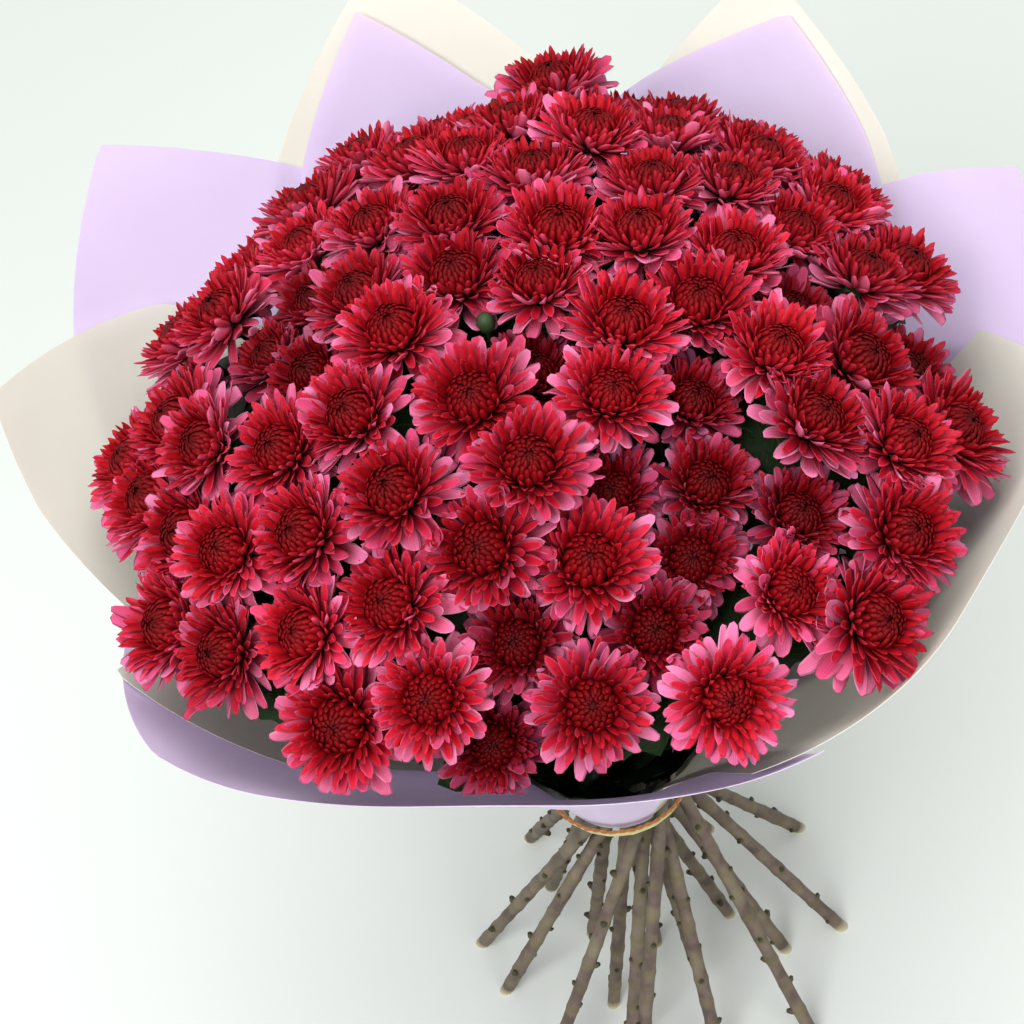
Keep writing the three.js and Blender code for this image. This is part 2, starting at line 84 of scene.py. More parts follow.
# %% Camera
LOOK_DOWN = math.radians(50.66)
PHONE_TURN = math.radians(-13.74)
CAMERA_AWAY = 1391.9
LOOK_AT = Vector((-22.9, 0, 432.7))
SENSOR = 36
PHOTO_WIDTH_PX, FOCAL_PX = 1024, 2849.5
LENS = SENSOR * FOCAL_PX / PHOTO_WIDTH_PX

ahead = Vector((0, math.cos(LOOK_DOWN), -math.sin(LOOK_DOWN)))
level = Vector((1, 0, 0))
rise = level.cross(ahead)
right = level * math.cos(PHONE_TURN) + rise * math.sin(PHONE_TURN)
top = rise * math.cos(PHONE_TURN) - level * math.sin(PHONE_TURN)
camera = bpy.data.objects.new("camera", bpy.data.cameras.new("camera"))
bpy.context.scene.collection.objects.link(camera)
bpy.context.scene.camera = camera
camera.data.sensor_width = SENSOR
camera.data.lens = LENS
place = TO_MODEL @ (LOOK_AT - ahead * CAMERA_AWAY)
turned = Matrix((right, top, -ahead)).transposed().to_4x4()
camera.matrix_world = Matrix.Translation(place) @ turned
print("camera at, mm:", [round(1000 * c) for c in place])

# %% [markdown]
# ## Where the flowers are
# Flowers in a hand-tied bunch pack evenly over a low dome. Seeds in a flower head do the same, one golden angle after
# another, so that rule places the heads here, with small seeded shifts. It is the same rule, with the same values, as
# in the CAD model, so each fine flower lands on its own faceted head.

# %% Values shared with the CAD model
TIE_Z, DOME_R, DOME_RISE, DOME_Z, DOME_EDGE = 190, 250, 228, 359, math.radians(55)
DOME_WIDE, DOME_DEEP = 0.97, 0.95
BULGE_TURN, BULGE, FLAT_TURN, FLAT = math.radians(216), 0.06, math.radians(262), 0.02
PROUD_TURN, PROUD = math.radians(82), 17
HEADS, MOST_HEADS, SHARING_PASSES, SEED = 87, 5, 30, 11
HEAD_SHIFT, SPRAY_LIFT, HEAD_LIFT, HEAD_LEAN = 4.5, 6, 3, 0.16
DEEP_CHANCE, DEEP_BY, DEEP_SIZE = 0.1, 15, 0.86
STEM_D, STEM_TOP_D, RING_PITCH, RING_COUNTS = 8, 5, 8.9, (1, 5, 7, 8)
RING_TILTS = [math.radians(a) for a in (0, 20, 35, 47)]
NODE_STEP, SPLAY, SHORT_STEMS, SHORT_BY = 36, 1.08, (2, 4, 9), 38
TOP_BELOW, STALK_D, STALK_STEP, FIRST_STALK, NECK_BELOW = 92, 4, 13, 6, 17
HEAD_R, TILT_SHARE = 32, 0.82
LEAF_L, LEAF_W = 62, 40
FILM, LAYER_STEP, LAYER_FLARE = 1, 1.32, 2.2
FILM_Z, FILM_R, FILM_TURN = (184, 245, 312, 400, 470, 545), (31.2, 56, 101, 182, 251, 304), 18
DRAWN_IN = (0.03, 0, 0, 0, 0, 0, 0, 0, 0, 0, 0, 0.02, 0.08, 0.19, 0.21, 0.19, 0.14, 0.14, 0.13, 0.07)
HUG_FROM, HUG_OVER = 290, 150
BROAD_WAVE, BROAD_COUNT, BROAD_PHASE, FINE_WAVE, FINE_COUNT = 3.2, 5, 0.6, 2, 11
GOLDEN = math.pi * (3 - math.sqrt(5))


def draw(i, k):
    """One number from 0 to 1 that depends only on two counters and the seed."""
    x = math.sin(i * 12.9898 + k * 78.233 + SEED) * 43758.5453
    return x - math.floor(x)


def spread(i, k, a):
    return (2 * draw(i, k) - 1) * a


# %% Head centres over the dome
heads = []
for i in range(HEADS):
    tilt = math.acos(1 - (1 - math.cos(DOME_EDGE)) * ((i + 0.5) / HEADS))
    turn = i * GOLDEN
    bulge = BULGE * max(0, math.cos(turn - BULGE_TURN)) ** 4
    flat = FLAT * max(0, math.cos(turn - FLAT_TURN)) ** 4
    out = Vector((math.cos(turn) * DOME_WIDE, math.sin(turn) * DOME_DEEP, 0)) * (1 + bulge - flat)
    c = UP * (DOME_Z + DOME_RISE * math.cos(tilt)) + out * (DOME_R * math.sin(tilt))
    c += Vector((spread(i, 1, HEAD_SHIFT), spread(i, 2, HEAD_SHIFT), 0))
    heads.append(SimpleNamespace(i=i, c=c, tilt=tilt, turn=math.atan2(c.y, c.x)))

edge_heads = [h for h in heads if h.tilt > DOME_EDGE - math.radians(8)]
proud = min(edge_heads, key=lambda h: abs(h.turn - PROUD_TURN))
proud.c += Vector((0, PROUD * 0.6, PROUD))
proud.tilt *= 0.5

# %% Heads shared out to the sprays
sprays = []
for ring, (count, tilt) in enumerate(zip(RING_COUNTS, RING_TILTS)):
    for k in range(count):
        turn = 2 * math.pi * (k + ring * 0.37) / count
        flat_r = DOME_R * math.sin(tilt)
        c = Vector((flat_r * math.cos(turn), flat_r * math.sin(turn), DOME_Z + DOME_RISE * math.cos(tilt)))
        sprays.append(SimpleNamespace(c=c, heads=[]))
for _ in range(SHARING_PASSES):
    pairs = sorted(((h.c - s.c).length, h.i, n) for h in heads for n, s in enumerate(sprays))
    for s in sprays:
        s.heads = []
    taken = set()
    for _, i, n in pairs:
        if i not in taken and len(sprays[n].heads) < MOST_HEADS:
            taken.add(i)
            sprays[n].heads.append(heads[i])
            heads[i].spray = sprays[n]
    for s in sprays:
        s.c = sum((h.c for h in s.heads), Vector()) / len(s.heads)
knot = UP * TIE_Z
sprays.sort(key=lambda s: (s.c - knot).angle(UP))
for n, s in enumerate(sprays):
    s.n = n
    s.lift = spread(n, 3, SPRAY_LIFT)
print("sprays:", len(sprays), "with heads:", [len(s.heads) for s in sprays])

# %% Each head's own height, size and lean
for h in heads:
    h.deep = draw(h.i, 4) < DEEP_CHANCE
    normal = Vector((math.sin(h.tilt) * math.cos(h.turn), math.sin(h.tilt) * math.sin(h.turn), math.cos(h.tilt)))
    h.c += normal * (h.spray.lift + spread(h.i, 5, HEAD_LIFT) - (DEEP_BY if h.deep else 0))
    lean = h.tilt * TILT_SHARE
    h.axis = Vector((math.sin(lean) * math.cos(h.turn), math.sin(lean) * math.sin(h.turn), math.cos(lean)))
    h.axis = (h.axis + Vector((spread(h.i, 6, HEAD_LEAN), spread(h.i, 7, HEAD_LEAN), 0))).normalized()
    h.r = HEAD_R * (1 + spread(h.i, 8, 0.07)) * (DEEP_SIZE if h.deep else 1)
    h.site = h.c + h.axis * 3
print("head diameters, mm:", round(2 * min(h.r for h in heads)), "to", round(2 * max(h.r for h in heads)))

# %% [markdown]
# ## Where the stems are
# In a spiral bunch every stem is straight, and all of them pass the tie turning the same way. Seen together they make
# the waist of an hourglass. Each stem is one straight line through its place in the waist.

# %% Stems through the tie
first = 0
for ring, count in enumerate(RING_COUNTS):
    rho = max(ring * RING_PITCH, 0.001)
    members = sprays[first:first + count]
    first += count
    for s in members:
        reach = (s.c - knot).length
        stem_top = knot.lerp(s.c, (reach - TOP_BELOW) / reach)
        r = max(math.hypot(stem_top.x, stem_top.y), rho)
        s.rise = stem_top.z - TIE_Z
        s.run = 0 if ring == 0 else math.sqrt(max(r * r - rho * rho, 0)) / s.rise
        s.waist = math.atan2(stem_top.y, stem_top.x) - math.atan2(s.run * s.rise, rho)
        s.rho, s.ring = rho, ring
    members.sort(key=lambda s: s.waist)
    least = 2 * math.asin((STEM_D + 0.5) / (2 * rho * 0.8)) if ring else 0
    for _ in range(400 if count > 1 else 0):
        for k in range(count):
            a, b = members[k], members[(k + 1) % count]
            gap = b.waist - a.waist + (2 * math.pi if k == count - 1 else 0)
            if gap < least:
                a.waist -= (least - gap) / 2
                b.waist += (least - gap) / 2
for s in sprays:
    s.along = Vector((-math.sin(s.waist) * s.run, math.cos(s.waist) * s.run, 1))
    s.below = Vector((s.along.x * SPLAY, s.along.y * SPLAY, 1))
    s.hub = Vector((math.cos(s.waist), math.sin(s.waist), 0)) * (s.rho if s.ring else 0) + knot


def on_stem(s, z):
    """The middle of a spray's stem at a height."""
    return s.hub + (s.below if z < TIE_Z else s.along) * (z - TIE_Z)


# %% Flower stalks fan out from the top of each stem
bones = []
for s in sprays:
    s.top = on_stem(s, TIE_Z + s.rise)
    s.up, s.down = s.along.normalized(), s.below.normalized()
    s.heads.sort(key=lambda h: (h.c - s.top).length)
    bones.append((s, s.hub, s.top, STEM_D / 2))
    for k, h in enumerate(s.heads):
        h.root = s.top + s.up * -(FIRST_STALK + STALK_STEP * k)
        h.neck = h.c - h.axis * NECK_BELOW
        bones.append((s, h.root, h.neck, STALK_D / 2))

# %% [markdown]
# ## Where the film runs
# The sheets of film lie on one flared cone, one over the other. At the front and right the rim is drawn in to the
# flowers. This function gives the cone's radius, and the leaves and petals use it to stay inside the wrap.

# %% The cone of film
def film_radius(turn, z, layer=0):
    """The wrap's radius in millimetres at turns in degrees and heights, for arrays."""
    turn = np.mod(np.asarray(turn, float), 360)
    z = np.clip(np.asarray(z, float), FILM_Z[0] - 10, FILM_Z[-1])
    low = np.clip(np.searchsorted(FILM_Z, z, side="left") - 1, 0, len(FILM_Z) - 2)
    levels, radii, drawn = np.array(FILM_Z, float), np.array(FILM_R, float), np.array(DRAWN_IN)
    share = (z - levels[low]) / (levels[low + 1] - levels[low])
    step = np.floor(turn / FILM_TURN).astype(int)
    part = turn / FILM_TURN - step

    def corner(i, k):
        t = np.clip((levels[i] - HUG_FROM) / HUG_OVER, 0, 1)
        high = t * t * (3 - 2 * t)
        angle = np.radians(k * FILM_TURN)
        wave = BROAD_WAVE * high * np.sin(angle * BROAD_COUNT + BROAD_PHASE)
        wave = wave + FINE_WAVE * high * np.sin(angle * FINE_COUNT)
        off = layer * LAYER_STEP * (1 + LAYER_FLARE * i / (len(FILM_Z) - 1))
        return radii[i] * (1 - high * drawn[k % len(DRAWN_IN)]) + wave + off

    # a chord of the faceted cone lies a little inside the circle through its corners
    chord = 1 / (np.cos(np.radians(FILM_TURN / 2)) ** -1 * np.cos(np.radians((part - 0.5) * FILM_TURN)))
    under = corner(low, step) * (1 - part) + corner(low, step + 1) * part
    over = corner(low + 1, step) * (1 - part) + corner(low + 1, step + 1) * part
    return (under * (1 - share) + over * share) * chord


def inside_film(points, gap):
    """Draws points in to the bunch's axis where they would pass the wrap."""
    r = np.hypot(points[:, 0], points[:, 1]) + 1e-9
    wall = film_radius(np.degrees(np.arctan2(points[:, 1], points[:, 0])), points[:, 2]) - gap
    points[:, :2] *= np.minimum(1, wall / r)[:, None]
    return points


# %% [markdown]
# ## One way to grow every shape
# Petals, stems, stalks and buds are all long, closed and round at both ends. Each starts as a coarse globe, and its
# rings are drawn out along a line, as a potter pulls a handle. The globe is closed, so the finished shape is too.

# %% Drawn-out globes
def drawn_out(bm, sides, rings, place):
    """Adds a globe to the mesh. place(across, side, ring) gives each point's new place and its marks."""
    for v in bmesh.ops.create_uvsphere(bm, u_segments=sides, v_segments=rings, radius=1)["verts"]:
        ring = round((1 - math.acos(max(-1, min(1, v.co.z))) / math.pi) * rings)
        girth = math.hypot(v.co.x, v.co.y)
        across, side = (v.co.y / girth, -v.co.x / girth) if girth > 1e-4 else (0, 0)
        v.co, marks = place(across, side, ring)
        for layer, mark in marks.items():
            v[bm.verts.layers.float_color[layer]] = mark


def new_mesh(*layers):
    bm = bmesh.new()
    for layer in layers:
        bm.verts.layers.float_color.new(layer)
    return bm


def new_piece(bm, name, slot, material, *nodes, crisp=0):
    """Turns a mesh in millimetres into a piece that rides on the bunch and stands for CAD nodes.

    crisp is the angle in radians from which an edge stays sharp; 0 keeps every edge smooth.
    """
    bmesh.ops.transform(bm, matrix=TO_MODEL, verts=bm.verts)
    for face in bm.faces:
        face.smooth = True
    for edge in bm.edges:
        edge.smooth = not crisp or edge.calc_face_angle(0) < crisp
    mesh = bpy.data.meshes.new(name)
    bm.to_mesh(mesh)
    bm.free()
    mesh.materials.append(material)
    piece = bpy.data.objects.new(name, mesh)
    bpy.context.scene.collection.objects.link(piece)
    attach(piece, "root")
    if nodes:
        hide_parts(*nodes)
    return piece


# %% [markdown]
# ## Materials
# Every finish is built from a few shader nodes. Colours are written as sRGB hex, as a colour picker gives them, and
# one function turns them to the linear values that the renderer works in.

# %% Colour and node helpers
def colour(text):
    parts = [int(text[k:k + 2], 16) / 255 for k in (1, 3, 5)]
    return [p / 12.92 if p <= 0.04045 else ((p + 0.055) / 1.055) ** 2.4 for p in parts] + [1]


def new_material(name):
    material = bpy.data.materials.new(name)
    material.use_nodes = True
    return material


def add(material, kind, inputs=None, **settings):
    """Adds a shader node. inputs maps a socket to a value or to another node's output."""
    node = material.node_tree.nodes.new(kind)
    for key, value in settings.items():
        setattr(node, key, value)
    for key, value in (inputs or {}).items():
        if isinstance(value, bpy.types.NodeSocket):
            material.node_tree.links.new(value, node.inputs[key])
        else:
            node.inputs[key].default_value = value
    return node


def shader(material):
    return material.node_tree.nodes["Principled BSDF"]


def feed(material, socket, output):
    material.node_tree.links.new(output, shader(material).inputs[socket])


def ramp(material, factor, stops):
    """A colour ramp over a factor, from (place, hex) stops."""
    node = add(material, "ShaderNodeValToRGB", {"Fac": factor})
    band = node.color_ramp
    while len(band.elements) > 1:
        band.elements.remove(band.elements[-1])
    band.elements[0].position, band.elements[0].color = stops[0][0], colour(stops[0][1])
    for place_, tint in stops[1:]:
        band.elements.new(place_).color = colour(tint)
    return node.outputs["Color"]


def mix(material, factor, a, b, blend="MIX"):
    node = add(material, "ShaderNodeMix", {0: factor, 6: a, 7: b}, data_type="RGBA", blend_type=blend)
    return node.outputs[2]


def maths(material, operation, a, b=0.0, c=0.0):
    return add(material, "ShaderNodeMath", {0: a, 1: b, 2: c}, operation=operation).outputs[0]


def darkened(material, tone, share):
    """A colour times one grey share."""
    grey = add(material, "ShaderNodeCombineColor", {0: share, 1: share, 2: share}).outputs[0]
    return mix(material, 1.0, tone, grey, "MULTIPLY")


# %% [markdown]
# ## Petal finish
# A chrysanthemum petal has a soft, almost matt skin with fine lengthwise veins. The young petals at the middle are
# maroon, the open ones crimson, and the oldest, at the rim, fade to hot pink at their blunt tips. Each point of a
# petal carries its place across and along the petal and the petal's age, and the colours follow those marks.

# %% Petal material
petal_skin = new_material("fresh chrysanthemum petal")
mark = add(petal_skin, "ShaderNodeAttribute", attribute_name="petal")
parts = add(petal_skin, "ShaderNodeSeparateColor", {"Color": mark.outputs["Color"]}).outputs
across, along, inner = parts[0], parts[1], parts[2]
age = mark.outputs["Alpha"]
mark = add(petal_skin, "ShaderNodeAttribute", attribute_name="flower")
mood = add(petal_skin, "ShaderNodeSeparateColor", {"Color": mark.outputs["Color"]}).outputs
# The flower mark's fourth channel is painted shade: one darkening share for each whole head.
painted_head_shade = mark.outputs["Alpha"]
base_tone = ramp(petal_skin, age, [
    (0, "#590206"), (0.3, "#85040a"), (0.42, "#bd0812"), (0.7, "#d40e20"), (1, "#da1f3c")])
tip_tone = ramp(petal_skin, age, [
    (0, "#6c060b"), (0.3, "#960a12"), (0.5, "#cf1522"), (0.76, "#e42a4a"), (0.88, "#f65f97"), (1, "#ff8fc2")])
under_tone = ramp(petal_skin, age, [(0, "#620409"), (0.34, "#980f1a"), (0.6, "#cc2a3e"), (1, "#f37ba6")])
# Lighter petal edges: partly the petal's own paler edge, partly a painted highlight along each edge.
edge_and_highlight_tone = ramp(petal_skin, age, [
    (0, "#84080e"), (0.36, "#b0141e"), (0.5, "#e04254"), (0.8, "#f56c8c"), (1, "#ffb4d4")])
base_tone = mix(petal_skin, maths(petal_skin, "MULTIPLY", mood[1], 0.4), base_tone, colour("#8a0b16"))
reach = maths(petal_skin, "ADD", along, maths(petal_skin, "MULTIPLY", mood[0], 0.3))
fade = maths(petal_skin, "MULTIPLY_ADD", age, -2.0, 3.8)
tip_share = maths(petal_skin, "POWER", maths(petal_skin, "MINIMUM", reach, 1.0), fade)
tip_share = maths(petal_skin, "MULTIPLY", tip_share, maths(petal_skin, "MULTIPLY_ADD", mood[2], 0.6, 0.5))
face_tone = mix(petal_skin, tip_share, base_tone, tip_tone)
skin_tone = mix(petal_skin, inner, under_tone, face_tone)
# The edge tone grows towards both edges of each petal: the petal's paler edge with a painted highlight.
edge = maths(petal_skin, "ABSOLUTE", maths(petal_skin, "SUBTRACT", across, 0.5))
edge_highlight_share = maths(petal_skin, "POWER", maths(petal_skin, "MULTIPLY", edge, 2.0), 5.0)
skin_tone = mix(petal_skin, maths(petal_skin, "MULTIPLY", edge_highlight_share, 0.75), skin_tone, edge_and_highlight_tone)
vein = maths(petal_skin, "SINE", maths(petal_skin, "MULTIPLY", across, 44.0))
skin_tone = darkened(petal_skin, skin_tone, maths(petal_skin, "MULTIPLY_ADD", vein, 0.07, 0.93))
# Painted shade: each petal is darkened towards its root, where the petals crowd and little light reaches.
root_shade = add(petal_skin, "ShaderNodeMapRange", {0: along, 1: 0.0, 2: 0.55, 3: 0.35, 4: 1.0}).outputs[0]
skin_tone = darkened(petal_skin, skin_tone, maths(petal_skin, "MULTIPLY", root_shade, painted_head_shade))
feed(petal_skin, "Base Color", skin_tone)
shader(petal_skin).inputs["Roughness"].default_value = 0.42
shader(petal_skin).inputs["Specular IOR Level"].default_value = 0.1
vein_bump = add(petal_skin, "ShaderNodeBump", {"Height": vein, "Strength": 0.25, "Distance": 0.0002})
feed(petal_skin, "Normal", vein_bump.outputs[0])

# %% [markdown]
# ## Flowers
# A decorative chrysanthemum head is all petals. The youngest curl in over the middle like a closed hand. Round them
# stand cupped petals that lean out more with age, and the oldest lie flat or hang. The golden angle sets each petal's
# turn, and its age sets everything else, so a few dozen lines grow the whole flower.

# %% Petal plans
BALL, OPEN, RIM = 62, 98, 30
EARLY_CHANCE, HANGING_CHANCE = 0.09, 0.16
CURVE_STEPS, PETAL_THICK, WIDEST_AT = 24, 0.34, 0.62
HEART_R, HEART_UP, HEART_RINGS = 7.9, 3.2, 6


def petal_plan(k, kind, openness):
    """One petal's sizes in millimetres and degrees, from its count outwards from the middle."""
    c = lambda n, a: spread(1000 + 211 * kind + k, 40 + n, a)
    early = 0.22 if draw(1000 + 211 * kind + k, 55) < EARLY_CHANCE else 0
    if k < BALL:
        q = (k + 0.5) / BALL
        shell = 8.3 + 3.1 * q
        start, end = 64 + 48 * q, 3 + 54 * q + c(1, 5)
        root = (shell * math.sin(math.radians(start)), 3.4 + shell * math.cos(math.radians(start)))
        return SimpleNamespace(
            root=root, rise=180 - start, tip=180 - end, curl=0, long=shell * math.radians(start - end),
            wide=2.5 + 1.0 * q, cup=0.1, sides=4, rings=5, age=0.36 * q, roll=c(2, 16))
    if k < BALL + OPEN:
        q = (k - BALL + 0.5) / OPEN
        lean = (1 - openness) * 26
        return SimpleNamespace(
            root=(7.9 - 1.2 * q, -1 - 2.6 * q), rise=56 - 44 * q + lean * q + c(1, 7),
            tip=86 - 58 * q + lean * q + c(2, 12), curl=6 + c(3, 34), long=14.6 + 8.6 * q + c(4, 1.9),
            wide=3.2 + 1.8 * q * q + c(5, 0.5), cup=0.5 + c(6, 0.2),
            sides=4 if q < 0.7 else 6, rings=6, age=0.4 + 0.4 * q + c(7, 0.06) + early, roll=c(8, 34))
    q = (k - BALL - OPEN + 0.5) / RIM
    lean = (1 - openness) * 34 + (22 if draw(1000 + 211 * kind + k, 49) < HANGING_CHANCE else 0)
    return SimpleNamespace(
        root=(6.6, -3.6 - 1.8 * q), rise=9 - 20 * q + lean + c(1, 10), tip=24 - 26 * q + lean + c(2, 26),
        curl=c(3, 38), long=22.6 + 2.6 * q + c(4, 2.6), wide=6.8 + 1.0 * q + c(5, 1.1), cup=0.34 + c(6, 0.3),
        sides=6, rings=7, age=0.86 + 0.14 * q + c(7, 0.1), roll=c(8, 48))


# %% One petal
def petal_outline(f):
    """A spoon's outline: narrow at the root, widest past the middle, blunt at the tip."""
    widening = 0.4 + 0.6 * math.sin(min(f / WIDEST_AT, 1) * math.pi / 2)
    return widening * math.sqrt(max(0, 1 - max(0, (f - WIDEST_AT) / (1 - WIDEST_AT)) ** 2.4))


def add_petal(bm, plan, turn):
    """A closed petal that follows its curve out from the flower's axis."""
    rho, z = plan.root
    curve = []
    for n in range(CURVE_STEPS + 1):
        f = n / CURVE_STEPS
        angle = math.radians(plan.rise + (plan.tip - plan.rise) * f + plan.curl * max(0, (f - 0.7) / 0.3) ** 2)
        curve.append((rho, z, angle))
        rho += plan.long / CURVE_STEPS * math.cos(angle)
        z += plan.long / CURVE_STEPS * math.sin(angle)
    outward = Vector((math.cos(turn), math.sin(turn), 0))
    tangent = Vector((-math.sin(turn), math.cos(turn), 0))

    def place(across, side, ring):
        f = 1 - (1 - ring / plan.rings) ** 1.5
        rho, z, angle = curve[round(f * CURVE_STEPS)]
        way = outward * math.cos(angle) + UP * math.sin(angle)
        roll = math.radians(plan.roll) * f
        normal = UP * math.cos(angle) - outward * math.sin(angle)
        flat = tangent * math.cos(roll) + normal * math.sin(roll)
        normal = way.cross(flat) * -1 if way.cross(flat).dot(normal) < 0 else way.cross(flat)
        half = plan.wide / 2 * petal_outline(f)
        thick = PETAL_THICK * (1 - across * across) * (1 if side > 0.1 else -1 if side < -0.1 else 0)
        co = outward * rho + UP * z + flat * (across * half) + normal * (plan.cup * half * across * across + thick)
        upper = 1 if side > 0.1 else 0 if side < -0.1 else 0.5
        return co, {"petal": (across / 2 + 0.5, f, upper, max(0, min(1, plan.age)))}

    drawn_out(bm, plan.sides, plan.rings, place)


# %% Flower patterns
def flower_pattern(kind, openness):
    """A whole flower in millimetres, its axis along +Z, as a mesh that is copied to several heads."""
    bm = new_mesh("petal", "flower")
    for k in range(BALL + OPEN + RIM):
        add_petal(bm, petal_plan(k, kind, openness), k * GOLDEN + kind + spread(k, 90 + kind, 0.09))

    def heart(across, side, ring):
        angle = math.pi * ring / HEART_RINGS
        r = HEART_R * math.sin(angle)
        return Vector((side * -r, across * r, HEART_UP - HEART_R * math.cos(angle))), {"petal": (0.5, 0.1, 1, 0)}

    drawn_out(bm, 10, HEART_RINGS, heart)
    mesh = bpy.data.meshes.new(f"flower_pattern_{kind}")
    bm.to_mesh(mesh)
    bm.free()
    return mesh


OPENNESS = (1.0, 0.92, 0.8, 1.04, 0.6, 0.95, 0.86)
LEAST_OPEN = OPENNESS.index(min(OPENNESS))
patterns = [flower_pattern(kind, openness) for kind, openness in enumerate(OPENNESS)]
pattern_points = []
for mesh in patterns:
    co = np.empty(len(mesh.vertices) * 3, np.float32)
    mesh.vertices.foreach_get("co", co)
    pattern_points.append(co.reshape(-1, 3).astype(float))
print("triangles a flower:", sum(len(p.vertices) - 2 for p in patterns[0].polygons))

# %% [markdown]
# ## Flowers in their sprays
# Each head takes one pattern, turned and sized for its place. Where two heads press on each other the rim petals of
# one fold up over those of the other, as in a tight bunch, and no petal pokes through the wrap.

# %% Place the flowers
NEIGHBOUR, HALF_GAP, LAP = 75, 3, 4
PUSH, FOLD_UP, FOLD_DOWN = 0.6, 0.45, -0.35
FULLNESS, PETAL_TO_FILM = 1.05, 1.5
NEAR_UPRIGHT = 0.97


def flower_axes(h):
    side = Vector((1, 0, 0)) if abs(h.axis.z) > NEAR_UPRIGHT else UP
    u = side.cross(h.axis).normalized()
    return u, h.axis.cross(u)


def crowd(h, points):
    """Folds a head's petals at each neighbour: one of the two lies over the other, as its turn comes."""
    site, axis = np.array(h.site), np.array(h.axis)
    for o in heads:
        gap = np.array(o.site - h.site)
        d = np.linalg.norm(gap)
        if o is h or d > NEIGHBOUR:
            continue
        way = gap / d
        above = 1 if (h.i * 7 + o.i * 7) % 2 == (h.i > o.i) else -1
        over = np.maximum(0, (points - site) @ way - (d / 2 + HALF_GAP + LAP * above))
        points -= over[:, None] * way * PUSH
        points += over[:, None] * axis * (FOLD_UP if above > 0 else FOLD_DOWN)
    return inside_film(points, PETAL_TO_FILM)


def ruffle(h, points):
    """Waves a flower a little, each head in its own way, so that no two are alike."""
    turn = np.arctan2(points[:, 1], points[:, 0])
    out = (np.hypot(points[:, 0], points[:, 1]) / HEAD_R) ** 2
    wave = lambda count, k, a: a * np.sin(count * turn + 2 * math.pi * draw(h.i, k))
    moved = points * (1 + out * (wave(2, 56, 0.05) + wave(5, 57, 0.04) + wave(9, 58, 0.03)))[:, None]
    moved[:, 2] += out * (wave(3, 59, 2.2) + wave(7, 60, 1.6))
    return moved


for s in sprays:
    bm = new_mesh("petal", "flower")
    for h in s.heads:
        kind = LEAST_OPEN if h.deep else int(draw(h.i, 50) * len(patterns))
        u, v = flower_axes(h)
        spin = 2 * math.pi * draw(h.i, 51)
        x = u * math.cos(spin) + v * math.sin(spin)
        basis = np.array([x, h.axis.cross(x), h.axis]) * (h.r / HEAD_R * FULLNESS)
        points = crowd(h, ruffle(h, pattern_points[kind]) @ basis + np.array(h.c))
        mesh = patterns[kind].copy()
        mesh.vertices.foreach_set("co", points.astype(np.float32).ravel())
        # Painted shade: a head set deep in the bunch is darkened to half, and the others get a random share from 0.72
        # to 1.04, as painted light and shade varying from head to head.
        shade = 0.5 if h.deep else 0.72 + 0.32 * draw(h.i, 61)
        moods_and_painted_shade = np.tile(np.array([draw(h.i, 52), draw(h.i, 53), draw(h.i, 54), shade], np.float32), len(points))
        mesh.attributes["flower"].data.foreach_set("color", moods_and_painted_shade)
        bm.from_mesh(mesh)
        bpy.data.meshes.remove(mesh)
    name = f"spray_{s.n + 1:02d}"
    new_piece(bm, f"{name}_flowers", "petals", petal_skin, f"{name}_heads")
for mesh in patterns:
    bpy.data.meshes.remove(mesh)
print("flowers placed:", len(heads))

# %% [markdown]
# ## Stems and leaves
# The lower stems are bare wood in the making: grey-brown, with an olive scar and a small stub wherever the florist
# stripped a leaf. Above the tie they are green. The leaves are deep green, matt, and lobed like a small oak leaf, and
# their green is made darker still as painted shade for the gaps they fill.

# %% Stem and leaf materials
bark = new_material("stripped chrysanthemum stem")
mark = add(bark, "ShaderNodeAttribute", attribute_name="stem")
parts = add(bark, "ShaderNodeSeparateColor", {"Color": mark.outputs["Color"]}).outputs
place_ = add(bark, "ShaderNodeTexCoord").outputs["Object"]
grain_place = add(bark, "ShaderNodeMapping", {"Vector": place_, "Scale": (1, 1, 0.12)}).outputs[0]
grain = add(bark, "ShaderNodeTexNoise", {"Vector": grain_place, "Scale": 1400.0, "Detail": 3.0}).outputs["Fac"]
patches = add(bark, "ShaderNodeTexNoise", {"Vector": place_, "Scale": 70.0, "Detail": 2.0}).outputs["Fac"]
low_tone = ramp(bark, patches, [(0.35, "#5c4c45"), (0.5, "#7b6a5f"), (0.62, "#83795f"), (0.75, "#8f8375")])
low_tone = mix(bark, maths(bark, "MULTIPLY", grain, 0.5), low_tone, colour("#4a3d36"))
scar_tone = ramp(bark, parts[1], [(0, "#7c7049"), (0.6, "#67633a"), (1, "#36351d")])
scar_tone = mix(bark, parts[1], low_tone, scar_tone)
stem_tone = mix(bark, parts[0], scar_tone, colour("#2c4420"))
stem_tone = mix(bark, parts[2], stem_tone, colour("#cfc9a6"))
feed(bark, "Base Color", stem_tone)
shader(bark).inputs["Roughness"].default_value = 0.62
bark_bump = add(bark, "ShaderNodeBump", {"Height": grain, "Strength": 0.5, "Distance": 0.0004})
feed(bark, "Normal", bark_bump.outputs[0])

